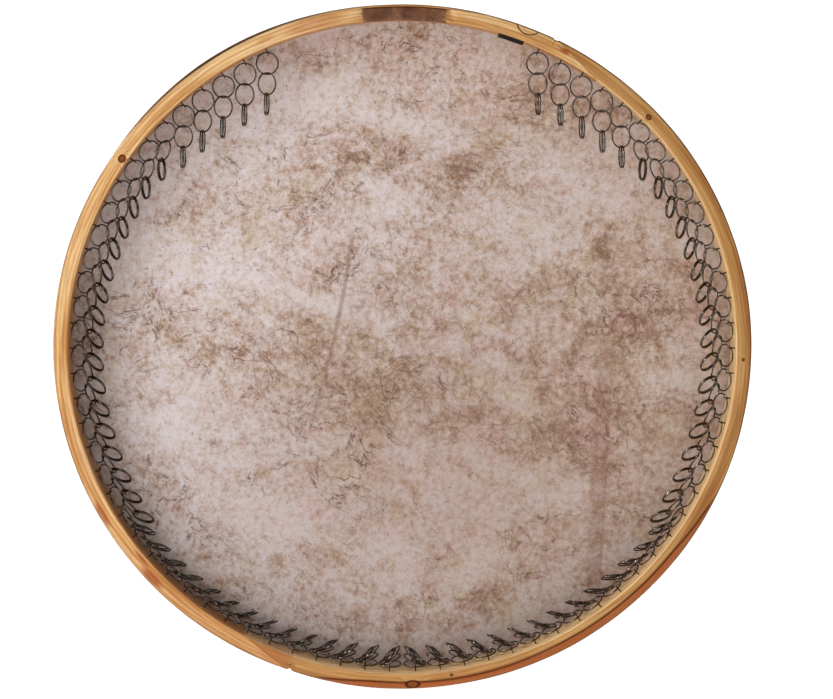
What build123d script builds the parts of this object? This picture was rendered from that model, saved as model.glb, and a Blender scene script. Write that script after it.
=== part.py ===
"""Frame drum (daf): a bent-wood hoop with a skin head and linked steel rings hung inside it.

+Z is up, +X is right and +Y runs from the open back to the skin. The origin is the middle of
the drum. Places round the hoop are given as clock angles: degrees clockwise from the top,
seen from the open back.
"""
import os
from math import cos, radians, sin, sqrt

from build123d import *

os.makedirs("parts", exist_ok=True)

# Driving dimensions, mm and degrees
WIDTH = 530
HEIGHT = 520
DEPTH = 60
SKIN = 0.6
HOOP_WALL = 11.5
EDGE_EASE = 1.4  # taken off both corners of the back edge
SKIN_LAP = 22  # how far the skin is glued down the outside of the hoop
BEARING_BEVEL = 3  # the hoop is thinned under the skin

SCARFS = (26.6, 199.5)  # where the hoop's two halves are spliced, on the outside
SCARF_SLOPE = 20
NICK = 1.4  # chip at each splice's thin end

THUMB_FROM = -32  # the scoop for the thumb, along X
THUMB_TO = 36.5
THUMB_DEPTH = 7
THUMB_LIP = 1.5  # wood left standing outside the scoop
PAD_THICKNESS = 1.2
PAD_PROUD = 0.8

TAB_CLOCK = 19.3
TAB_SIZE = (20, 8, 3)
TAB_Y = -25

RING_RADIUS = 8.3  # to the middle of the wire
RING_WIRE = 0.6  # wire radius
RING_GAP = 0.1
EYE_RADIUS = 2.5
EYE_WIRE = 0.45
EYE_HEIGHT = 2.6  # middle of the eye, off the wall
LINK_HEIGHT = 3.2  # wire of a chain's first ring, off the wall
SHANK_RADIUS = 0.6
SHANK_LENGTH = 9
HOOK_Y = -12

FIRST_CLOCK = 24.6
CHAIN_PITCH = 4.374
CHAINS_PER_SIDE = 36
SINGLES_PER_SIDE = 18  # lower chains are made in pairs
SHINGLE_CLOCK = 44  # from here on the chains lean on each other
HEAP_CLOCK = 118  # from here on they lie on the hoop

BACK = -DEPTH / 2
FRONT = DEPTH / 2 - SKIN
OUTER = (WIDTH / 2 - SKIN, HEIGHT / 2 - SKIN)
INNER = (OUTER[0] - HOOP_WALL, OUTER[1] - HOOP_WALL)
REACH = WIDTH  # longer than anything that is cut
TAUT = 2 * RING_RADIUS - 2 * RING_WIRE - RING_GAP  # from ring to ring in a hanging chain
ACROSS = Vector(0, 1, 0)


def across(y):
    """The plane square to the drum's axis at y, with X and Z as its own axes."""
    return Plane.XZ.offset(-y)


def wall(clock, side, radii=INNER):
    """A point of the hoop's wall, its inward normal and its downhill direction, at y = 0."""
    x, z = sin(radians(clock)), cos(radians(clock))
    reach = 1 / sqrt((x / radii[0]) ** 2 + (z / radii[1]) ** 2)
    point = Vector(side * x * reach, 0, z * reach)
    inward = Vector(-point.X / radii[0] ** 2, 0, -point.Z / radii[1] ** 2).normalized()
    downhill = Vector(-inward.Z, 0, inward.X) * side
    return point, inward, downhill


def between(clock, start, end):
    """A value that goes evenly from start = (clock, value) to end, and holds beyond them."""
    share = (clock - start[0]) / (end[0] - start[0])
    return start[1] + (end[1] - start[1]) * min(max(share, 0), 1)


def save(part, name):
    part.label = name
    export_step(part, f"parts/{name}.step")


# The hoop, before it is parted: a flat strip on edge, bent to an oval, eased at the back
with BuildPart() as hoop:
    with BuildSketch(across(BACK)):
        Ellipse(*OUTER)
        Ellipse(*INNER, mode=Mode.SUBTRACT)
    extrude(amount=BACK - FRONT)
    chamfer(hoop.edges().group_by(Axis.Y)[0], EDGE_EASE)
    chamfer(hoop.edges().group_by(Axis.Y)[-1].sort_by(SortBy.LENGTH)[0], BEARING_BEVEL)

# The thumb scoop: a steep end on the right, a slow run-out on the left
with BuildSketch(Plane.XY) as scoop_profile:
    with BuildLine():
        Polyline(
            (THUMB_FROM, BACK - 5),
            (THUMB_FROM, BACK),
            (THUMB_FROM + 16, BACK + THUMB_DEPTH),
            (THUMB_TO - 2, BACK + THUMB_DEPTH),
            (THUMB_TO, BACK - 5),
            close=True,
        )
    make_face()
    floor_corners = scoop_profile.vertices().group_by(Axis.Y)[-1]
    fillet(floor_corners.sort_by(Axis.X)[0], 14)
    fillet(scoop_profile.vertices().group_by(Axis.Y)[-1].sort_by(Axis.X)[-1], 2.5)

with BuildPart() as scoop:
    add(scoop_profile.sketch)
    extrude(amount=REACH)
    with BuildSketch(across(BACK - 6)):
        Ellipse(OUTER[0] - THUMB_LIP, OUTER[1] - THUMB_LIP)
    extrude(amount=-DEPTH, mode=Mode.INTERSECT)

with BuildPart() as thumb_pad:
    add(scoop.part)
    add(scoop.part.moved(Location((0, -PAD_THICKNESS, 0))), mode=Mode.SUBTRACT)
    with BuildSketch(across(BACK - 6)):
        Ellipse(INNER[0] - PAD_PROUD, INNER[1] - PAD_PROUD)
    extrude(amount=-DEPTH, mode=Mode.SUBTRACT)
    with BuildSketch(across(BACK + 0.4)):
        Rectangle(REACH, 2 * REACH)
    extrude(amount=DEPTH, mode=Mode.SUBTRACT)
save(thumb_pad.part, "thumb_pad")

# The right half's side of the two splices
cut_line = []
for clock in SCARFS:
    start, inward, _ = wall(clock, 1, OUTER)
    along = Vector(-inward.Z, 0, inward.X).rotate(Axis.Y, SCARF_SLOPE)
    cut_line.append((start - along * 40, start, start + along * 75))
with BuildPart() as right_side:
    with BuildSketch(across(BACK - 1)):
        with BuildLine():
            Polyline(
                *[(p.X, p.Z) for p in (cut_line[0][0], cut_line[0][2])],
                *[(p.X, p.Z) for p in (cut_line[1][2], cut_line[1][0])],
                (cut_line[1][0].X, -REACH),
                (REACH, -REACH),
                (REACH, REACH),
                (cut_line[0][0].X, REACH),
                close=True,
            )
        make_face()
    extrude(amount=-DEPTH - 2)

# Chips at the splices' thin ends
with BuildPart() as nicks:
    for _, start, _ in cut_line:
        with Locations(Plane(origin=start, z_dir=(0, 1, 0))):
            Cylinder(NICK, 2 * DEPTH)

with BuildPart() as hoop_right:
    add(hoop.part)
    add(right_side.part, mode=Mode.INTERSECT)
    add(nicks.part, mode=Mode.SUBTRACT)
    add(scoop.part, mode=Mode.SUBTRACT)
save(hoop_right.part, "hoop_right")

with BuildPart() as hoop_left:
    add(hoop.part)
    add(right_side.part, mode=Mode.SUBTRACT)
    add(nicks.part, mode=Mode.SUBTRACT)
    add(scoop.part, mode=Mode.SUBTRACT)
save(hoop_left.part, "hoop_left")

# The skin, stretched over the front and glued down round the outside
with BuildPart() as skin_head:
    with BuildSketch(across(FRONT - SKIN_LAP)):
        Ellipse(WIDTH / 2, HEIGHT / 2)
    extrude(amount=-SKIN_LAP - SKIN)
    with BuildSketch(across(FRONT - SKIN_LAP)):
        Ellipse(*OUTER)
    extrude(amount=-SKIN_LAP, mode=Mode.SUBTRACT)
    fillet(skin_head.edges().group_by(Axis.Y)[-1], SKIN * 0.9)
save(skin_head.part, "skin_head")

# A small black pad on the inside of the hoop, beside the thumb
tab_point, tab_inward, tab_along = wall(TAB_CLOCK, 1)
tab_plane = Plane(origin=tab_point + ACROSS * TAB_Y, x_dir=tab_along, z_dir=tab_inward)
with BuildPart() as finger_pad:
    with BuildSketch(tab_plane.offset(-1)):
        RectangleRounded(TAB_SIZE[0], TAB_SIZE[1], 1.5)
    extrude(amount=TAB_SIZE[2] + 1)
    fillet(finger_pad.faces().sort_by(Axis(tab_point, tab_inward))[-1].edges(), 0.8)
    with BuildSketch(across(BACK - 1)):
        Ellipse(OUTER[0] + 10, OUTER[1] + 10)
        Ellipse(*INNER, mode=Mode.SUBTRACT)
    extrude(amount=-DEPTH, mode=Mode.SUBTRACT)
save(finger_pad.part, "finger_pad")


# One eye for each chain: a wire loop square to the hoop, on a shank driven into the wood
clocks = [FIRST_CLOCK + CHAIN_PITCH * n for n in range(CHAINS_PER_SIDE)]
with BuildPart() as ring_eyes:
    for side in (1, -1):
        for clock in clocks:
            point, inward, downhill = wall(clock, side)
            foot = point + ACROSS * HOOK_Y
            with Locations(Plane(origin=foot + inward * EYE_HEIGHT, z_dir=downhill)):
                Torus(EYE_RADIUS, EYE_WIRE)
            with Locations(Plane(origin=foot, z_dir=inward)):
                Cylinder(SHANK_RADIUS, SHANK_LENGTH, align=(Align.CENTER, Align.CENTER, Align.MAX))
save(ring_eyes.part, "ring_eyes")


def pose(number, side, clock):
    """How one chain lies. Degrees, but for the last value.

    The first ring is turned from downhill towards a leaning direction by `first`, the others
    by `lean`. The leaning direction is `over` from straight inwards, towards the skin. `turns`
    are the three rings' turns about the chain. `pitch` is the distance from ring to ring.
    """
    if clock < SHINGLE_CLOCK:
        uneven = (7 * number + (3 if side < 0 else 0)) % 5 - 2
        return 90 - clock, 90 - clock, 0, (10 + uneven, 38 + uneven, 85), TAUT
    if clock < HEAP_CLOCK:
        over = between(clock, (SHINGLE_CLOCK, 34), (HEAP_CLOCK, 63))
        last = between(clock, (100, 85), (HEAP_CLOCK, 67))
        return max(90 - clock, 45), max(90 - clock, 40), over, (0, 28, last), TAUT
    lean = between(clock, (HEAP_CLOCK, 50), (160, 76))
    lean += between(clock, (160, 0), (178, 13))
    pitch = between(clock, (150, 12), (178, 9.6))
    return lean, lean, 78, (0, 25, 50), pitch


def ring_planes(number, side, clock):
    """The planes of one chain's four rings. The last two hang side by side in the second."""
    first, lean, over, turns, pitch = pose(number, side, clock)
    point, inward, downhill = wall(clock, side)
    link = point + inward * LINK_HEIGHT + ACROSS * HOOK_Y
    aside = inward * cos(radians(over)) + ACROSS * sin(radians(over))
    square = ACROSS * cos(radians(over)) - inward * sin(radians(over))
    down = downhill * cos(radians(lean)) + aside * sin(radians(lean))
    level = aside * cos(radians(lean)) - downhill * sin(radians(lean))
    start = downhill * cos(radians(first)) + aside * sin(radians(first))
    flats = [level * cos(radians(a)) + square * sin(radians(a)) for a in turns]

    apart = (RING_WIRE + RING_GAP) / sin(radians(turns[2] - turns[1]))
    drop = RING_RADIUS - sqrt(RING_RADIUS**2 - apart**2)
    middle = link + start * RING_RADIUS
    end = middle + down * (2 * pitch - drop)
    middles = (middle, middle + down * pitch, end - flats[1] * apart, end + flats[1] * apart)
    across_ring = (flats[0], flats[1], flats[2], flats[2])
    return [Plane(origin=m, x_dir=down, z_dir=down.cross(f)) for m, f in zip(middles, across_ring)]


def chain_group(numbers, side):
    """The rings of neighbouring chains, as separate solids."""
    with BuildPart() as rings:
        for number in numbers:
            with Locations(*ring_planes(number, side, clocks[number])):
                Torus(RING_RADIUS, RING_WIRE)
    return rings.part


for side, side_name in ((1, "right"), (-1, "left")):
    for number in range(SINGLES_PER_SIDE):
        save(chain_group([number], side), f"ring_chain_{side_name}_{number + 1:02d}")
    for number in range(SINGLES_PER_SIDE, CHAINS_PER_SIDE, 2):
        name = f"ring_chains_{side_name}_{number + 1:02d}_{number + 2:02d}"
        save(chain_group([number, number + 1], side), name)
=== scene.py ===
"""A frame drum (daf) seen from its open back: bent pine hoop, goatskin head, steel ring chains.

Everything is in metres in the CAD frame: +Z up, +X right, +Y from the open back to the skin.
A place round the hoop is a clock angle, in degrees clockwise from the top as the camera sees it.
"""
from math import atan2, cos, exp, hypot, pi, radians, sin, sqrt

import bmesh
import bpy
import numpy as np
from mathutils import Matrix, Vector, noise


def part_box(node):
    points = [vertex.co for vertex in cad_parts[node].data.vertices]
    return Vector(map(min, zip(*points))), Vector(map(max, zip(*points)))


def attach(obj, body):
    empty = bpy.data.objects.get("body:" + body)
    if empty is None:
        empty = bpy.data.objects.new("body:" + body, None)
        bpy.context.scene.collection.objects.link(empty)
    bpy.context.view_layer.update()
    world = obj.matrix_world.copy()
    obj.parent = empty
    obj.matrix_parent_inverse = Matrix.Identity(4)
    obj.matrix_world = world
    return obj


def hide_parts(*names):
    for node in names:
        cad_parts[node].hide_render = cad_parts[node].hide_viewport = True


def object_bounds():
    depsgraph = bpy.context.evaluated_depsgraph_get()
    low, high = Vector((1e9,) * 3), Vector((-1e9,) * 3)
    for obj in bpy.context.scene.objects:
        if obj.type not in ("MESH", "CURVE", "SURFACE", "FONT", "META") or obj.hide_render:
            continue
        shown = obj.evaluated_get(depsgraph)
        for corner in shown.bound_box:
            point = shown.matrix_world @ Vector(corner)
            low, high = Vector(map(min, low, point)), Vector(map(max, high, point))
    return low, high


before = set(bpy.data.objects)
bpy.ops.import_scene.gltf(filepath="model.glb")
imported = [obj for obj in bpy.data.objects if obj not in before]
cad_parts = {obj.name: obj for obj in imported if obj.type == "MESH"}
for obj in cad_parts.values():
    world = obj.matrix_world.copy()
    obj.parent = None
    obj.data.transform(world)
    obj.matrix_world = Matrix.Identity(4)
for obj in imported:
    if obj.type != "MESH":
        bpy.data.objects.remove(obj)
cad_low, cad_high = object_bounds()
MM = 0.001

# ---------------------------------------------------------------- sizes, from the frame
HALF_WIDTH = cad_high.x
HALF_HEIGHT = cad_high.z
wood_boxes = [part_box("hoop_left"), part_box("hoop_right")]
BACK = min(low.y for low, _ in wood_boxes)
FRONT = max(high.y for _, high in wood_boxes)
SKIN = cad_high.y - FRONT
OUT_X, OUT_Z = HALF_WIDTH - SKIN, HALF_HEIGHT - SKIN
WALL = 11.5 * MM
LAP_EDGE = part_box("skin_head")[0].y
PAD_LOW, PAD_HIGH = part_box("thumb_pad")
SCARF_CLOCKS = (26.6, 199.5)
SCARF_SLOPE = radians(20)
FRONT_BEVEL = 3 * MM


def ellipse_point(clock, inward=0.0):
    """The point inward from the hoop's outer wall at a clock angle, as x and z, and the inward normal."""
    x, z = sin(radians(clock)), cos(radians(clock))
    reach = 1 / hypot(x / OUT_X, z / OUT_Z)
    px, pz = x * reach, z * reach
    nx, nz = -px / OUT_X**2, -pz / OUT_Z**2
    size = hypot(nx, nz)
    return px + nx / size * inward, pz + nz / size * inward, nx / size, nz / size


def smooth(value, low, high):
    """0 below low, 1 above high, with an eased slope between."""
    t = min(max((value - low) / (high - low), 0), 1)
    return t * t * (3 - 2 * t)


def bell(value, centre, width):
    """1 at centre, falling off smoothly on both sides."""
    return exp(-(((value - centre) / width) ** 2))


def angle_from(clock, centre):
    """Signed degrees from centre to clock, the short way round."""
    return (clock - centre + 180) % 360 - 180


def mesh_piece(name, points, faces, material):
    """A smooth-shaded piece from points and faces, riding on the drum."""
    mesh = bpy.data.meshes.new(name)
    mesh.from_pydata([tuple(p) for p in points], [], faces)
    mesh.polygons.foreach_set("use_smooth", [True] * len(mesh.polygons))
    mesh.materials.append(material)
    piece = bpy.data.objects.new(name, mesh)
    bpy.context.scene.collection.objects.link(piece)
    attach(piece, "drum")
    return piece


def outward(piece):
    """Turns a closed piece's faces outwards."""
    shape = bmesh.new()
    shape.from_mesh(piece.data)
    bmesh.ops.recalc_face_normals(shape, faces=shape.faces)
    shape.to_mesh(piece.data)
    shape.free()


def grid_faces(rows, columns, wrap):
    """Quads of a grid of points kept row by row; wrap joins the last column to the first."""
    faces = []
    for i in range(rows - 1):
        for j in range(columns if wrap else columns - 1):
            k = (j + 1) % columns
            faces.append((i * columns + j, i * columns + k, (i + 1) * columns + k, (i + 1) * columns + j))
    return faces


# ---------------------------------------------------------------- materials
def srgb(red, green, blue):
    """A colour given as 0 to 255 screen values, as linear RGBA."""
    def linear(value):
        value /= 255
        return value / 12.92 if value <= 0.04045 else ((value + 0.055) / 1.055) ** 2.4
    return (linear(red), linear(green), linear(blue), 1.0)


class Shader:
    """One material's nodes. Each call adds a node and gives back its output."""

    def __init__(self, name, **surface):
        self.material = bpy.data.materials.new(name)
        self.material.use_nodes = True
        self.tree = self.material.node_tree
        self.surface = self.tree.nodes["Principled BSDF"]
        for socket, value in surface.items():
            self.surface.inputs[socket.replace("_", " ")].default_value = value

    def feed(self, socket, value):
        if isinstance(value, bpy.types.NodeSocket):
            self.tree.links.new(value, socket)
        else:
            socket.default_value = value

    def set(self, socket, value):
        self.feed(self.surface.inputs[socket], value)

    def node(self, kind, output, *values, **settings):
        made = self.tree.nodes.new("ShaderNode" + kind)
        for key, value in settings.items():
            setattr(made, key, value)
        for socket, value in zip(made.inputs, values):
            if value is not None:
                self.feed(socket, value)
        return made.outputs[output]

    def math(self, operation, *values, clamp=False):
        return self.node("Math", 0, *values, operation=operation, use_clamp=clamp)

    def place(self):
        return self.node("TexCoord", "Object")

    def split(self, vector):
        made = self.tree.nodes.new("ShaderNodeSeparateXYZ")
        self.feed(made.inputs[0], vector)
        return made.outputs

    def join(self, x, y, z):
        return self.node("CombineXYZ", 0, x, y, z)

    def stretch(self, vector, x, y, z):
        return self.node("VectorMath", 0, vector, (x, y, z), operation="MULTIPLY")

    def shift(self, vector, by):
        return self.node("VectorMath", 0, vector, by, operation="ADD")

    def noise(self, vector, scale, detail=4.0, roughness=0.5, distortion=0.0):
        made = self.tree.nodes.new("ShaderNodeTexNoise")
        made.inputs["Scale"].default_value = scale
        made.inputs["Detail"].default_value = detail
        made.inputs["Roughness"].default_value = roughness
        made.inputs["Distortion"].default_value = distortion
        self.feed(made.inputs["Vector"], vector)
        return made.outputs["Fac"]

    def cells(self, vector, scale, feature="F1", output="Distance"):
        made = self.tree.nodes.new("ShaderNodeTexVoronoi")
        made.feature = feature
        made.inputs["Scale"].default_value = scale
        self.feed(made.inputs["Vector"], vector)
        return made.outputs[output]

    def ramp(self, value, *stops, ease=False):
        """Maps value through (position, number or colour) stops."""
        made = self.tree.nodes.new("ShaderNodeValToRGB")
        made.color_ramp.interpolation = "EASE" if ease else "LINEAR"
        stop = made.color_ramp.elements
        while len(stop) < len(stops):
            stop.new(0.5)
        for element, (position, level) in zip(stop, stops):
            element.position = position
            element.color = level if isinstance(level, tuple) else (level, level, level, 1)
        self.feed(made.inputs[0], value)
        return made.outputs[0]

    def mix(self, share, low, high, how="MIX"):
        made = self.tree.nodes.new("ShaderNodeMix")
        made.data_type = "RGBA"
        made.blend_type = how
        for socket, value in zip((made.inputs[0], made.inputs[6], made.inputs[7]), (share, low, high)):
            self.feed(socket, value)
        return made.outputs[2]

    def remap(self, value, low, high, to_low=0.0, to_high=1.0):
        made = self.tree.nodes.new("ShaderNodeMapRange")
        made.interpolation_type = "SMOOTHSTEP"
        for socket, number in zip(made.inputs, (value, low, high, to_low, to_high)):
            self.feed(socket, number)
        return made.outputs[0]

    def spot(self, across, up, centre, size):
        """How far out a place is in an ellipse, by two coordinates: 0 at its centre, 1 on its edge."""
        dx = self.math("DIVIDE", self.math("SUBTRACT", across, centre[0]), size[0])
        dy = self.math("DIVIDE", self.math("SUBTRACT", up, centre[1]), size[1])
        reach = self.math("ADD", self.math("MULTIPLY", dx, dx), self.math("MULTIPLY", dy, dy))
        return self.math("SQRT", reach)

    def bump(self, height, depth, under=None):
        made = self.tree.nodes.new("ShaderNodeBump")
        made.inputs["Distance"].default_value = depth
        self.feed(made.inputs["Height"], height)
        if under is not None:
            self.feed(made.inputs["Normal"], under)
        return made.outputs[0]


MEAN_RADIUS = (OUT_X + OUT_Z) / 2


def along(clock):
    """Metres along the hoop from the lower scarf's outside end, clockwise."""
    return radians((clock - SCARF_CLOCKS[1]) % 360) * MEAN_RADIUS


# clock angle, inset from the outer wall, half length along the hoop and half width, in mm
KNOTS = (
    (304.1, 7.4, 2.8, 2.5),
    (46.8, 7.4, 2.1, 1.7),
    (92, 6.4, 1.1, 1.1),
    (171.5, 8.3, 1.2, 1.0),
    (178.3, 3.8, 5.2, 2.6),
)
# the same, then how strong
WARM_PATCHES = (
    (28.6, 5.5, 4.5, 2.2, 1.0),
    (215, 7.0, 70, 9, 0.3),
    (252, 5.0, 50, 8, 0.25),
    (241, 3.4, 12, 3.0, 0.95),
    (227.5, 4.4, 12, 3.4, 1.0),
    (231, 8.4, 9, 1.6, 0.9),
    (336, 6.0, 8, 2.0, 0.35),
    (345, 5.5, 26, 5.0, 0.5),
    (201, 6.0, 26, 7.0, 0.45),
)
BARK_RING = (21.4, -2.4, 9.4, 8.0)
DARK_LAYER = ((112, 0.0), (127, 5.8), (150, 6.4), (164, 5.6), (186, 5.4), (197, 0.0))


def wood_material(name, dull, clear, pale, inner_wall_light_and_shade):
    """Pine with its grain along the strip, from a board of three tones; the inner wall gets its own colour
    from the caller, painted light on the right half and painted shade on the left half.
    """
    wood = Shader(name)
    strip = wood.node("Attribute", "Vector", attribute_name="strip")
    joint = wood.node("Attribute", "Fac", attribute_name="joint")
    length, inset, depth = wood.split(strip)

    # growth rings run along the strip, wander a little, and swell round knots
    wander = wood.noise(wood.stretch(strip, 7, 40, 14), 1.0, 3, 0.55)
    ring = wood.math("ADD", wood.math("MULTIPLY", inset, 330), wood.math("MULTIPLY", depth, 75))
    ring = wood.math("ADD", ring, wood.math("MULTIPLY", wander, 3.4))
    ring = wood.math("ADD", ring, wood.math("MULTIPLY", length, 2.1))
    knots, heart = 0.0, 0.0
    near_back = wood.remap(depth, 0.016, 0.03, 1.0, 0.0)
    for clock, deep, half_long, half_wide in KNOTS:
        size = (half_long * MM, half_wide * MM)
        reach = wood.spot(length, inset, (along(clock), deep * MM), size)
        ring = wood.math("ADD", ring, wood.remap(reach, 0.6, 3.4, 1.6, 0.0))
        knot = wood.math("MULTIPLY", wood.remap(reach, 1.0, 1.4, 1.0, 0.0), near_back)
        knots = wood.math("MAXIMUM", knots, knot)
        core = wood.ramp(wood.math("MULTIPLY", reach, 0.5), (0, 0.3), (0.16, 0.9), (0.34, 0.7), (0.42, 0.0))
        heart = wood.math("MAXIMUM", heart, core)
    late = wood.ramp(wood.math("FRACT", ring), (0, 0.0), (0.45, 0.12), (0.86, 0.8), (0.93, 1.0), (1, 0.0))
    fibres = wood.noise(wood.stretch(strip, 55, 2400, 1500), 1.0, 5, 0.62)
    tone = wood.noise(wood.stretch(strip, 9, 170, 60), 1.0, 4, 0.6, 0.5)

    colour = wood.ramp(tone, (0.36, dull), (0.5, clear), (0.64, pale))
    # painted light and shade: the inner wall's colour stands in for how the lamp falls on it
    colour = wood.mix(wood.remap(inset, WALL - 0.0006, WALL - 0.0001, 0, 0.7), colour, inner_wall_light_and_shade)
    dark = wood.math("MULTIPLY", late, wood.remap(tone, 0.3, 0.7, 0.85, 0.4))
    colour = wood.mix(dark, colour, srgb(142, 84, 34))
    streak = wood.ramp(fibres, (0.42, 0.0), (0.6, 0.38), (0.72, 0.7))
    colour = wood.mix(streak, colour, srgb(160, 108, 58))

    for clock, deep, half_long, half_wide, strength in WARM_PATCHES:
        size = (half_long * MM, half_wide * MM)
        reach = wood.spot(length, inset, (along(clock), deep * MM), size)
        patch = wood.math("MULTIPLY", wood.remap(reach, 0.45, 1.3, strength, 0.0), near_back)
        patch = wood.math("MULTIPLY", patch, wood.remap(fibres, 0.3, 0.6, 0.6, 1.0))
        colour = wood.mix(patch, colour, srgb(146, 68, 18))

    # a darker, resinous outer layer low on the right, with a dark seam under it
    whole = along(SCARF_CLOCKS[1] - 0.001)
    stops = [(along(clock) / whole, deep / 10) for clock, deep in DARK_LAYER]
    layer = wood.math("MULTIPLY", wood.ramp(wood.math("DIVIDE", length, whole), *stops), 0.01)
    layer = wood.math("ADD", layer, wood.math("MULTIPLY", wood.math("SUBTRACT", wander, 0.5), 0.0022))
    below = wood.math("SUBTRACT", layer, inset)
    present = wood.remap(layer, 0.0008, 0.0025)
    colour = wood.mix(wood.math("MULTIPLY", wood.remap(below, -0.0006, 0.0012, 0, 0.82), present),
                      colour, srgb(150, 70, 16))
    seam = wood.remap(wood.math("ABSOLUTE", below), 0.0003, 0.0014, 0.9, 0.0)
    colour = wood.mix(wood.math("MULTIPLY", seam, present), colour, srgb(82, 36, 8))

    # bark round a small knot that met the outside
    clock, deep, half_long, half_wide = BARK_RING
    reach = wood.spot(length, inset, (along(clock), deep * MM), (half_long * MM, half_wide * MM))
    bark = wood.remap(wood.math("ABSOLUTE", wood.math("SUBTRACT", reach, 1.0)), 0.03, 0.075, 1.0, 0.0)
    bark = wood.math("MULTIPLY", bark, wood.remap(depth, 0.004, 0.012, 1.0, 0.0))
    colour = wood.mix(bark, colour, srgb(30, 16, 6))
    knot_colour = wood.mix(heart, srgb(66, 20, 4), srgb(132, 74, 32))
    colour = wood.mix(knots, colour, knot_colour)

    # dirt on the corners, in the joints and where hands hold it, and painted shade along the outer back edge
    edge = wood.node("NewGeometry", "Pointiness")
    handled = wood.noise(wood.stretch(strip, 22, 90, 60), 1.0, 5, 0.65)
    worn = wood.math("MULTIPLY", wood.remap(edge, 0.52, 0.6), wood.remap(handled, 0.35, 0.65, 0.1, 0.55))
    colour = wood.mix(worn, colour, srgb(120, 78, 44))
    # partly painted shade of the rounded outer back edge, partly handling dirt: darker near the outer wall
    # and the back
    edge_shade_and_grime = wood.math("MULTIPLY", wood.remap(inset, 0.0004, 0.0022, 0.75, 0.0),
                      wood.remap(handled, 0.3, 0.6, 0.5, 1.0))
    edge_shade_and_grime = wood.math("MULTIPLY", edge_shade_and_grime, wood.remap(depth, 0.001, 0.006, 1.0, 0.12))
    colour = wood.mix(edge_shade_and_grime, colour, srgb(92, 66, 42))
    colour = wood.mix(wood.math("MULTIPLY", joint, 0.3), colour, srgb(90, 56, 30))
    colour = wood.mix(wood.remap(handled, 0.5, 0.72, 0.0, 0.22), colour, srgb(140, 96, 60))
    wood.set("Base Color", colour)
    wood.set("Specular IOR Level", wood.remap(wood.math("MAXIMUM", knots, seam), 0.0, 1.0, 0.28, 0.05))
    wood.set("Roughness", wood.remap(wood.math("ADD", handled, streak), 0.3, 1.1, 0.36, 0.58))
    relief = wood.math("ADD", wood.math("MULTIPLY", fibres, 0.5), wood.math("MULTIPLY", late, -0.3))
    relief = wood.math("SUBTRACT", relief, wood.math("ADD", bark, wood.math("MULTIPLY", joint, 0.8)))
    wood.set("Normal", wood.bump(relief, 0.00022))
    return wood.material


# centre across and up, half width, half height, in mm, and strength
STAINS = (
    (-28, 148, 42, 20, 0.85),
    (51, 124, 40, 16, 0.95),
    (150, 78, 30, 24, 0.6),
    (-2, -40, 78, 24, 0.75),
    (56, -60, 46, 16, 1.0),
    (108, -76, 44, 15, 0.95),
    (146, -92, 20, 13, 1.0),
    (176, 2, 62, 24, 0.6),
    (10, 10, 120, 60, 0.6),
    (22, -202, 54, 22, 0.8),
    (-122, -14, 62, 30, 0.5),
    (-66, 214, 60, 16, 0.45),
    (-150, 120, 40, 16, 0.35),
    (100, 20, 60, 20, 0.45),
    (-80, -180, 60, 20, 0.3),
)


# the crease and the streak: where they cross the middle's height, how they lean, and their ends' heights
CREASE_ACROSS, CREASE_LEAN, CREASE_BOW = -0.0535, 0.235, 0.55
CREASE_UP = (-0.067, 0.088)
STREAK_ACROSS, STREAK_LEAN = 0.1625, 0.055
STREAK_UP = (-0.19, 0.006)


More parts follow.
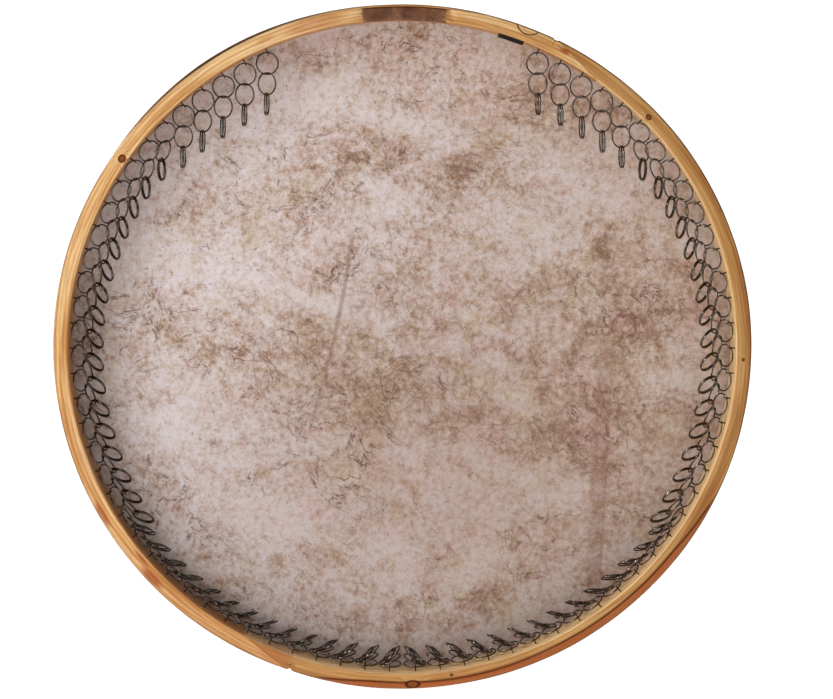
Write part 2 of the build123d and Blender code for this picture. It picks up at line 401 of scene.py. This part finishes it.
def skin_material():
    """Goatskin: stained and veined, with a crease, a ring-shaped stain and a dark streak."""
    skin = Shader("hide", Specular_IOR_Level=0.3, Sheen_Weight=0.12, Sheen_Roughness=0.5)
    place = skin.place()
    across, depth, up = skin.split(place)
    flat = skin.stretch(place, 1.0, 0.35, 1.0)

    cloud = skin.noise(skin.stretch(flat, 0.8, 1, 1.15), 13, 12, 0.68, 0.6)
    mottle = skin.noise(flat, 62, 8, 0.7, 0.5)
    grit = skin.noise(flat, 210, 10, 0.8)
    pores = skin.noise(flat, 620, 4, 0.6)
    stain = 0.0
    for x, z, half_wide, half_high, strength in STAINS:
        reach = skin.spot(across, up, (x * MM, z * MM), (half_wide * MM, half_high * MM))
        stain = skin.math("MAXIMUM", stain, skin.remap(reach, 0.2, 1.7, strength, 0.0))
    # painted shade: the skin gets darker and browner towards the right, standing in for the light falling
    # off away from the lamp on the left
    rightward_shade = skin.remap(across, -0.16, 0.2, 0.0, 0.26)
    stain = skin.math("MULTIPLY", stain, skin.remap(mottle, 0.3, 0.66, 0.35, 1.1))
    level = skin.math("ADD", skin.math("MULTIPLY", stain, 0.13), skin.math("MULTIPLY", cloud, 0.75))
    level = skin.math("ADD", level, skin.math("MULTIPLY", rightward_shade, 0.3))
    level = skin.math("ADD", level, skin.math("MULTIPLY", mottle, 0.55))
    level = skin.math("ADD", level, skin.math("MULTIPLY", skin.math("SUBTRACT", grit, 0.67), 1.25))

    colour = skin.ramp(level, (0.3, srgb(208, 198, 200)), (0.42, srgb(199, 184, 180)),
                       (0.53, srgb(184, 162, 150)), (0.64, srgb(158, 128, 110)), (0.76, srgb(116, 84, 66)))
    colour = skin.mix(rightward_shade, colour, srgb(160, 134, 112))
    handled = skin.remap(skin.spot(across, up, (0.02, -0.09), (0.15, 0.12)), 0.2, 1.6, 0.42, 0.0)
    colour = skin.mix(handled, colour, srgb(140, 110, 92))
    # greenish and rosy casts, in soft patches
    cast = skin.noise(flat, 34, 4, 0.6, 0.8)
    colour = skin.mix(skin.remap(cast, 0.52, 0.72, 0.0, 0.28), colour, srgb(188, 172, 140))
    colour = skin.mix(skin.remap(cast, 0.48, 0.28, 0.0, 0.26), colour, srgb(204, 166, 162))

    # veins and cracks: thin dark lines where two warped fields cross their middle
    warp = skin.noise(flat, 30, 6, 0.6)
    bent = skin.shift(flat, skin.stretch(skin.join(warp, grit, warp), 0.03, 0.0, -0.022))
    vein = skin.math("ABSOLUTE", skin.math("SUBTRACT", skin.noise(bent, 24, 5, 0.62, 0.9), 0.5))
    vein = skin.math("MULTIPLY", skin.remap(vein, 0.0, 0.009, 1.0, 0.0), skin.remap(cloud, 0.44, 0.56))
    crackle = skin.remap(skin.cells(bent, 95, "DISTANCE_TO_EDGE"), 0.0, 0.055, 1.0, 0.0)
    crackle = skin.math("MULTIPLY", crackle, skin.remap(skin.math("ADD", cloud, stain), 0.62, 1.15))
    lines = skin.math("MAXIMUM", skin.math("MULTIPLY", vein, 0.85), skin.math("MULTIPLY", crackle, 0.45))
    colour = skin.mix(lines, colour, srgb(94, 62, 48))
    speck = skin.remap(skin.noise(flat, 330, 3, 0.7), 0.62, 0.7, 0.0, 0.6)
    colour = skin.mix(speck, colour, srgb(118, 92, 80))

    # a ring-shaped stain, a long crease with painted shade along it, and the dark streak over the animal's
    # backbone
    mark = skin.spot(across, up, (0.171, 0.0135), (0.0092, 0.0088))
    mark = skin.remap(skin.math("ABSOLUTE", skin.math("SUBTRACT", mark, 1.0)), 0.02, 0.22, 0.85, 0.0)
    mark = skin.math("MULTIPLY", mark, skin.remap(grit, 0.35, 0.6, 0.35, 1.0))
    colour = skin.mix(mark, colour, srgb(126, 84, 66))
    # painted shade: a darker band along the crease
    fold = skin.math("ABSOLUTE", crease_offset(skin, across, up))
    fold = skin.math("MULTIPLY", skin.remap(fold, 0.0002, 0.0028, 0.5, 0.0), within(skin, up, *CREASE_UP))
    colour = skin.mix(fold, colour, srgb(120, 88, 70))
    off = streak_offset(skin, across, up)
    wide = skin.remap(skin.math("ABSOLUTE", skin.math("ADD", off, 0.005)), 0.0035, 0.0085, 0.46, 0.0)
    rim = skin.remap(skin.math("ABSOLUTE", off), 0.0003, 0.0018, 0.6, 0.0)
    streak = skin.math("MULTIPLY", skin.math("MAXIMUM", wide, rim), within(skin, up, *STREAK_UP))
    streak = skin.math("MULTIPLY", streak, skin.remap(grit, 0.3, 0.62, 0.55, 1.0))
    colour = skin.mix(streak, colour, srgb(132, 94, 78))

    # the lap outside the hoop is grimy from hands
    colour = skin.mix(skin.remap(depth, 0.027, 0.02, 0.0, 0.8), colour, srgb(112, 88, 68))
    skin.set("Base Color", colour)
    skin.set("Roughness", skin.remap(level, 0.4, 0.8, 0.62, 0.82))
    relief = skin.math("ADD", skin.math("MULTIPLY", grit, 0.7), skin.math("MULTIPLY", pores, 0.35))
    relief = skin.math("SUBTRACT", relief, skin.math("MULTIPLY", lines, 0.8))
    skin.set("Normal", skin.bump(relief, 0.00028))
    return skin.material


def crease_offset(maker, across, up):
    """How far a point is to the right of the crease, which leans and bows a little."""
    lean = maker.math("MULTIPLY", up, CREASE_LEAN)
    bow = maker.math("MULTIPLY", maker.math("MULTIPLY", up, up), -CREASE_BOW)
    middle = maker.math("ADD", maker.math("ADD", lean, bow), CREASE_ACROSS)
    return maker.math("SUBTRACT", across, middle)


def streak_offset(maker, across, up):
    """How far a point is to the right of the streak's right edge."""
    middle = maker.math("ADD", maker.math("MULTIPLY", up, STREAK_LEAN), STREAK_ACROSS)
    return maker.math("SUBTRACT", across, middle)


def within(maker, up, low, high):
    """1 between two heights, fading at both ends."""
    above = maker.remap(up, low - 0.004, low + 0.012)
    return maker.math("MULTIPLY", above, maker.remap(up, high - 0.012, high + 0.004, 1.0, 0.0))


def steel_material(name, colour, tarnish, roughness):
    """Drawn steel wire, tarnished in blotches."""
    steel = Shader(name, Metallic=1.0)
    place = steel.place()
    blotch = steel.noise(place, 260, 5, 0.6)
    fine = steel.noise(place, 2600, 4, 0.6)
    drawn = steel.math("ADD", steel.math("MULTIPLY", blotch, 0.7), steel.math("MULTIPLY", fine, 0.3))
    steel.set("Base Color", steel.ramp(drawn, (0.36, tarnish), (0.6, colour)))
    steel.set("Roughness", steel.remap(drawn, 0.35, 0.65, roughness + 0.16, roughness))
    steel.set("Normal", steel.bump(fine, 0.00002))
    return steel.material


def leather_material():
    """Dark brown leather, rubbed paler in places."""
    leather = Shader("dark_leather", Specular_IOR_Level=0.22)
    place = leather.place()
    grain = leather.cells(place, 1500)
    cloud = leather.noise(place, 90, 6, 0.6, 0.4)
    rub = leather.noise(place, 22, 4, 0.6)
    colour = leather.ramp(cloud, (0.3, srgb(70, 36, 20)), (0.55, srgb(106, 66, 44)),
                          (0.75, srgb(136, 94, 66)))
    colour = leather.mix(leather.remap(rub, 0.5, 0.7, 0.0, 0.5), colour, srgb(138, 104, 72))
    leather.set("Base Color", colour)
    leather.set("Roughness", leather.remap(rub, 0.35, 0.65, 0.6, 0.42))
    relief = leather.math("ADD", leather.math("MULTIPLY", grain, 0.5), leather.math("MULTIPLY", cloud, 0.7))
    leather.set("Normal", leather.bump(relief, 0.00035))
    return leather.material


def felt_material():
    """Black felt with a little fuzz."""
    felt = Shader("black_felt", Specular_IOR_Level=0.15)
    place = felt.place()
    fuzz = felt.noise(place, 1400, 6, 0.75)
    felt.set("Base Color", felt.ramp(fuzz, (0.35, srgb(14, 10, 10)), (0.7, srgb(44, 36, 36))))
    felt.set("Roughness", felt.remap(fuzz, 0.3, 0.7, 0.95, 0.8))
    felt.set("Normal", felt.bump(fuzz, 0.0004))
    return felt.material


# the left half's inner wall is painted dark as its shade; the right half's, round the bottom too, is painted
# pale as if lit from the upper left
left_pine = wood_material(
    "pine_left", dull=srgb(182, 129, 66), clear=srgb(212, 168, 110), pale=srgb(230, 198, 148),
    inner_wall_light_and_shade=srgb(170, 112, 58))
# the right half's darker board tones are partly its own wood and partly painted shade for the light falling
# off towards the right
right_pine = wood_material(
    "pine_right", dull=srgb(144, 90, 34), clear=srgb(170, 121, 63), pale=srgb(192, 149, 91),
    inner_wall_light_and_shade=srgb(248, 218, 164))
hide = skin_material()
leather = leather_material()
felt = felt_material()
ring_steel = steel_material("ring_steel", srgb(112, 104, 98), srgb(44, 34, 28), 0.1)
eye_steel = steel_material("eye_wire", srgb(64, 56, 50), srgb(30, 22, 18), 0.3)

# ---------------------------------------------------------------- the hoop's two halves
SCOOP_FROM, SCOOP_FLAT, SCOOP_END, SCOOP_TO = -33.5 * MM, -15 * MM, 33.4 * MM, 36.6 * MM
SCOOP_DEPTH = 7 * MM
LIP = 1.5 * MM
CORNER = 1.3 * MM
OUTER_BEVEL = 0.8 * MM


def scoop_depth(x, z):
    """How much wood the thumb scoop takes off the back edge at a place."""
    if z < 0:
        return 0.0
    return SCOOP_DEPTH * smooth(x, SCOOP_FROM, SCOOP_FLAT) * (1 - smooth(x, SCOOP_END, SCOOP_TO))


def hoop_section():
    """The strip's section, from its outer back corner round: inset from the outer wall, and Y."""
    quarter = [radians(18 * n) for n in range(6)]
    section = [(CORNER * (1 - cos(a)), BACK + CORNER * (1 - sin(a))) for a in quarter]
    section += [(LIP - 0.06 * MM, BACK), (LIP + 0.12 * MM, BACK)]
    section += [(inset * MM, BACK) for inset in (2.4, 3.6, 4.9, 6.2, 7.5, 8.8)]
    section += [(WALL - CORNER * (1 - sin(a)), BACK + CORNER * (1 - cos(a))) for a in quarter]
    inner = FRONT - FRONT_BEVEL
    section += [(WALL, BACK + CORNER + (inner - BACK - CORNER) * n / 14) for n in range(1, 15)]
    outer = FRONT - OUTER_BEVEL
    section += [(WALL - FRONT_BEVEL, FRONT), (WALL / 2, FRONT), (OUTER_BEVEL, FRONT), (0, outer)]
    section += [(0, outer + (BACK + CORNER - outer) * n / 16) for n in range(1, 16)]
    return section


def scarf_clock(clock, inset):
    """The clock angle at which a splice's sloping face meets a given inset."""
    x, z, nx, nz = ellipse_point(clock)
    tx, tz = -nz, nx
    # the slope's own normal, in the section across the hoop
    mx = nx * cos(SCARF_SLOPE) - tx * sin(SCARF_SLOPE)
    mz = nz * cos(SCARF_SLOPE) - tz * sin(SCARF_SLOPE)
    low, high = clock - 1, clock + 16
    for _ in range(40):
        middle = (low + high) / 2
        px, pz = ellipse_point(middle, inset)[:2]
        if (px - x) * mx + (pz - z) * mz > 0:
            low = middle
        else:
            high = middle
    return (low + high) / 2


HOOP_STEPS = 940
CHIPS = 26


def hoop_half(name, node, start, end, seed, pine):
    """One bent strip, from one splice to the other, with a hand-made strip's unevenness."""
    section = hoop_section()
    starts = [scarf_clock(start, inset) for inset, _ in section]
    ends = [scarf_clock(end, inset) + (360 if end < start else 0) for inset, _ in section]
    chances = np.random.default_rng(seed)
    span = (end - start) % 360
    chips = [(start + span * chances.uniform(0.02, 0.98), chances.uniform(0.6, 2.4) * MM,
              chances.uniform(0.25, 0.9) * MM) for _ in range(CHIPS)]
    points, strip, joint = [], [], []
    for i in range(HOOP_STEPS + 1):
        share = i / HOOP_STEPS
        for (inset, y), first, last in zip(section, starts, ends):
            clock = first + (last - first) * share
            x, z, _, _ = ellipse_point(clock)
            drift = noise.noise(Vector((x * 11, y * 6, z * 11 + seed)))
            fine = noise.noise(Vector((x * 70, y * 40, z * 70 + seed)))
            from_back = y - BACK
            if inset < WALL * 0.4:
                inset += (0.28 + 0.28 * drift + 0.06 * fine) * MM * (1 - inset / (WALL * 0.4))
                # the splices' thin ends have chipped away at the outside
                for scarf in SCARF_CLOCKS:
                    off = radians(angle_from(clock, scarf)) * MEAN_RADIUS
                    inset += 1.5 * MM * bell(off, -0.6 * MM, 1.3 * MM) * smooth(from_back, 26 * MM, 4 * MM)
            if from_back < CORNER * 1.01:
                y += (0.2 + 0.2 * drift + 0.05 * fine) * MM
                for chip, size, deep in chips:
                    off = radians(angle_from(clock, chip)) * MEAN_RADIUS
                    if abs(off) < 3 * size:
                        corner = bell(inset, 0, 1.4 * MM)
                        y += deep * bell(off, 0, size) * corner
            hollow = scoop_depth(x, z)
            if hollow and inset > LIP and y < FRONT - FRONT_BEVEL - MM:
                y = FRONT - (FRONT - y) * (FRONT - BACK - hollow) / (FRONT - BACK)
            px, pz = ellipse_point(clock, inset)[:2]
            points.append((px, y, pz))
            strip.append((along(clock - 1e-6), inset, y - BACK))
            gap = min(abs(clock - first), abs(last - clock))
            joint.append(exp(-((radians(gap) * MEAN_RADIUS / (0.55 * MM)) ** 2)))
    count = len(section)
    faces = grid_faces(HOOP_STEPS + 1, count, wrap=True)
    faces.append(tuple(range(count)))
    faces.append(tuple(HOOP_STEPS * count + j for j in reversed(range(count))))
    half = mesh_piece(name, points, faces, pine)
    places = half.data.attributes.new("strip", "FLOAT_VECTOR", "POINT")
    places.data.foreach_set("vector", np.array(strip, np.float32).ravel())
    glue = half.data.attributes.new("joint", "FLOAT", "POINT")
    glue.data.foreach_set("value", np.array(joint, np.float32))
    outward(half)
    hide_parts(node)


hoop_half("hoop_right_pine", "hoop_right", SCARF_CLOCKS[0], SCARF_CLOCKS[1], 3, right_pine)
hoop_half("hoop_left_pine", "hoop_left", SCARF_CLOCKS[1], SCARF_CLOCKS[0], 8, left_pine)


# ---------------------------------------------------------------- the skin
ROUND_STEPS = 300
DISC_STEPS = 118
CREASE_HEIGHT = 0.3 * MM
LIFTED_CLOCK, LIFTED_SPREAD, LIFTED = 325, 24, 2.4 * MM


def skin_relief(x, z):
    """How far the skin stands towards +Y of flat: slack waves, one crease and one stiff streak."""
    wave = noise.noise(Vector((x * 9, 0.3, z * 9))) * 0.3 + noise.noise(Vector((x * 34, 4, z * 34))) * 0.07
    crease = x - (CREASE_LEAN * z - CREASE_BOW * z * z + CREASE_ACROSS)
    ridge = bell(crease, 0, 1.7 * MM) * smooth(z, *CREASE_UP) * (1 - smooth(z, 0.06, 0.09))
    streak = smooth(x - (STREAK_LEAN * z + STREAK_ACROSS), -2 * MM, 2 * MM) * (1 - smooth(z, -0.01, 0.01))
    rim = 1 - smooth(hypot(x / OUT_X, z / OUT_Z), 0.86, 0.95)
    return -(wave * 0.9 * MM + ridge * CREASE_HEIGHT + streak * 0.12 * MM) * rim


def lap_edge(clock):
    """Where the glued-down edge of the skin was trimmed, by hand, with a knife."""
    turn = radians(clock)
    ragged = noise.noise(Vector((sin(turn) * 9, cos(turn) * 9, 2.5))) * 1.5
    ragged += noise.noise(Vector((sin(turn) * 60, cos(turn) * 60, 7.5))) * 0.35
    return LAP_EDGE + (1.6 + ragged) * MM


def skin_head():
    """A closed shell: over the front, round the edge, down the outside and back underneath."""
    edge_round = 1.1 * MM
    bend = [radians(15 * n) for n in range(7)]
    points = []
    rows = 0
    outer_y = FRONT + SKIN

    def row(place):
        nonlocal rows
        for j in range(ROUND_STEPS):
            points.append(place(360 * j / ROUND_STEPS))
        rows += 1

    def disc(share, y, inset):
        def place(clock):
            x, z, _, _ = ellipse_point(clock, inset)
            x, z = x * share, z * share
            return (x, y + skin_relief(x, z), z)
        return place

    def wrapped(inset, y_of):
        def place(clock):
            lift = LIFTED * bell(angle_from(clock, LIFTED_CLOCK), 0, LIFTED_SPREAD)
            y = y_of(clock)
            lift *= 1 - smooth(y, lap_edge(clock), lap_edge(clock) + 9 * MM)
            pucker = 0.12 * MM * noise.noise(Vector((clock * 0.9, y * 120, 1)))
            x, z, _, _ = ellipse_point(clock, inset - lift - abs(pucker) * (inset < 0))
            return (x, y, z)
        return place

    shares = [n / DISC_STEPS for n in range(1, DISC_STEPS + 1)]
    for share in shares:
        row(disc(share, outer_y, edge_round - SKIN))
    for a in bend[1:]:
        drop = edge_round * (1 - cos(a))
        row(wrapped(edge_round * (1 - sin(a)) - SKIN, lambda clock, drop=drop: outer_y - drop))
    lap_shares = [n / 9 for n in range(1, 10)]
    top = outer_y - edge_round
    for share in lap_shares:
        row(wrapped(-SKIN, lambda clock, share=share: top + (lap_edge(clock) - top) * share))
    for share in reversed([0] + lap_shares):
        row(wrapped(-0.1 * MM, lambda clock, share=share: top + (lap_edge(clock) - top) * share))
    for share in reversed(shares):
        row(disc(share, FRONT + 0.05 * MM, 0.8 * MM))
    faces = grid_faces(rows, ROUND_STEPS, wrap=True)
    for first, sense in ((0, 1), ((rows - 1) * ROUND_STEPS, -1)):
        ring = [first + j for j in range(ROUND_STEPS)]
        y = points[first][1]
        points.append((0, y, 0))
        for j in range(ROUND_STEPS):
            faces.append((len(points) - 1, ring[j], ring[(j + 1) % ROUND_STEPS])[::sense])
    skin = mesh_piece("skin_hide", points, faces, hide)
    outward(skin)
    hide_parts("skin_head")


skin_head()


# ---------------------------------------------------------------- the thumb scoop's leather
def thumb_leather():
    """A soft strip glued in the scoop, creased near its right end, its left end cut unevenly."""
    long_steps, wide_steps = 150, 26
    left, right = PAD_LOW.x, min(PAD_HIGH.x, SCOOP_END + 1.2 * MM)
    inner, outer = WALL + 0.7 * MM, LIP + 0.25 * MM
    thick = 1.2 * MM
    upper, lower = [], []
    for i in range(long_steps + 1):
        along_pad = i / long_steps
        for j in range(wide_steps + 1):
            across_pad = j / wide_steps
            inset = outer + (inner - outer) * across_pad
            ragged = 1.6 * MM * noise.noise(Vector((across_pad * 4, 3, 0))) * (1 - smooth(along_pad, 0, 0.1))
            x = left + (right - left) * along_pad + ragged
            clock = atan2(x, OUT_Z * sqrt(max(0, 1 - (x / OUT_X) ** 2))) * 180 / pi
            px, pz = ellipse_point(clock, inset)[:2]
            floor = BACK + max(scoop_depth(px, pz), 0.1 * MM)
            edge = min(1, sin(pi * across_pad) * 4) * min(1, 22 * along_pad, 30 * (1 - along_pad))
            edge = sqrt(max(edge, 0))
            soft = 0.35 * noise.noise(Vector((px * 60, 0, inset * 160)))
            fold = sin((px * 1900 - inset * 1500) + 2.2 * noise.noise(Vector((px * 150, inset * 300, 0))))
            crease = 0.3 * fold * bell(px, 27 * MM, 7 * MM) * smooth(inset, 4 * MM, 8 * MM)
            pinch = 0.5 * bell(px, -27 * MM, 3 * MM) * fold
            height = (thick + (soft * 0.35 + crease * 0.5 + pinch * 0.25) * MM) * (0.3 + 0.7 * edge)
            turned = smooth(inset, WALL - 0.9 * MM, inner) * 2.2 * MM
            upper.append((px, floor - height + turned, pz))
            lower.append((px, floor + turned * 1.35 + 0.02 * MM, pz))
    rows, columns = long_steps + 1, wide_steps + 1
    faces = grid_faces(rows, columns, wrap=False)
    base = len(upper)
    faces += [tuple(base + v for v in reversed(face)) for face in faces]
    border = list(range(columns)) + [i * columns + columns - 1 for i in range(1, rows)]
    border += [(rows - 1) * columns + j for j in reversed(range(columns - 1))]
    border += [i * columns for i in reversed(range(1, rows - 1))]
    for a, b in zip(border, border[1:] + border[:1]):
        faces.append((a, b, base + b, base + a))
    pad = mesh_piece("thumb_leather", upper + lower, faces, leather)
    outward(pad)
    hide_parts("thumb_pad")


thumb_leather()

# ---------------------------------------------------------------- what the CAD keeps
for name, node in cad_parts.items():
    finish = None
    if name.startswith("ring_chain"):
        finish = ring_steel
    elif name == "ring_eyes":
        finish = eye_steel
    elif name == "finger_pad":
        finish = felt
    if finish:
        node.data.materials.clear()
        node.data.materials.append(finish)
        node.data.polygons.foreach_set("use_smooth", [True] * len(node.data.polygons))

# ---------------------------------------------------------------- floor, light and camera
FLOOR_NEAR, FLOOR_FAR, FLOOR_SIDE = -3.0, 0.12, 2.0
FLOOR_DROP = 0.4 * MM


def studio():
    """A pale floor, a white surround and dim light from all round."""
    paper = Shader("studio_paper")
    weave = paper.noise(paper.place(), 40, 3, 0.5)
    paper.set("Base Color", paper.ramp(weave, (0.3, srgb(244, 243, 241)), (0.7, srgb(250, 250, 249))))
    paper.set("Roughness", 0.9)
    paper.set("Emission Color", (1, 1, 1, 1))
    paper.set("Emission Strength", 0.95)
    floor_height = -HALF_HEIGHT - FLOOR_DROP
    points = [(x, y, floor_height) for y in (FLOOR_NEAR, FLOOR_FAR) for x in (-FLOOR_SIDE, FLOOR_SIDE)]
    sweep = bpy.data.meshes.new("studio_floor")
    sweep.from_pydata(points, [], grid_faces(2, 2, wrap=False))
    sweep.materials.append(paper.material)
    floor = bpy.data.objects.new("studio_floor", sweep)
    bpy.context.scene.collection.objects.link(floor)

    world = bpy.data.worlds.new("studio")
    bpy.context.scene.world = world
    world.use_nodes = True
    nodes = world.node_tree.nodes
    nodes["Background"].inputs[0].default_value = (0.96, 0.98, 1, 1)
    nodes["Background"].inputs[1].default_value = 0.13
    backdrop = nodes.new("ShaderNodeBackground")
    backdrop.inputs[0].default_value = (1, 1, 1, 1)
    backdrop.inputs[1].default_value = 1.2
    seen = nodes.new("ShaderNodeMixShader")
    links = world.node_tree.links
    links.new(nodes.new("ShaderNodeLightPath").outputs["Is Camera Ray"], seen.inputs[0])
    links.new(nodes["Background"].outputs[0], seen.inputs[1])
    links.new(backdrop.outputs[0], seen.inputs[2])
    links.new(seen.outputs[0], nodes["World Output"].inputs[0])
    bpy.context.scene.view_settings.view_transform = "Standard"


def soft_light(name, place, target, size, power):
    """A rectangular white lamp, aimed at a target."""
    light = bpy.data.lights.new(name, "AREA")
    light.shape = "RECTANGLE"
    light.size, light.size_y = size
    light.energy = power
    lamp = bpy.data.objects.new(name, light)
    lamp.location = place
    lamp.rotation_euler = (Vector(target) - Vector(place)).to_track_quat("-Z", "Y").to_euler()
    bpy.context.scene.collection.objects.link(lamp)


studio()
soft_light("window", place=(-0.78, -1.08, 0.56), target=(-0.05, 0, 0), size=(0.95, 0.95), power=10.3)
soft_light("side", place=(-1.2, -0.2, 0.85), target=(0.1, 0, -0.05), size=(0.3, 0.3), power=17)

CAMERA_DISTANCE = 3.2
CAMERA_UP = radians(2.8)
CAMERA_LEFT = radians(0.6)
FRAME_WIDTH = 0.6298
AIM = Vector((0.0108, 0, -0.0026))
SENSOR = 36
camera = bpy.data.cameras.new("camera")
camera.sensor_width = SENSOR
camera.lens = SENSOR * (CAMERA_DISTANCE + BACK) / FRAME_WIDTH
eye = bpy.data.objects.new("camera", camera)
back = Vector((-sin(CAMERA_LEFT) * cos(CAMERA_UP), -cos(CAMERA_LEFT) * cos(CAMERA_UP), sin(CAMERA_UP)))
eye.location = AIM + back * CAMERA_DISTANCE
eye.rotation_euler = (-back).to_track_quat("-Z", "Y").to_euler()
bpy.context.scene.collection.objects.link(eye)
bpy.context.scene.camera = eye
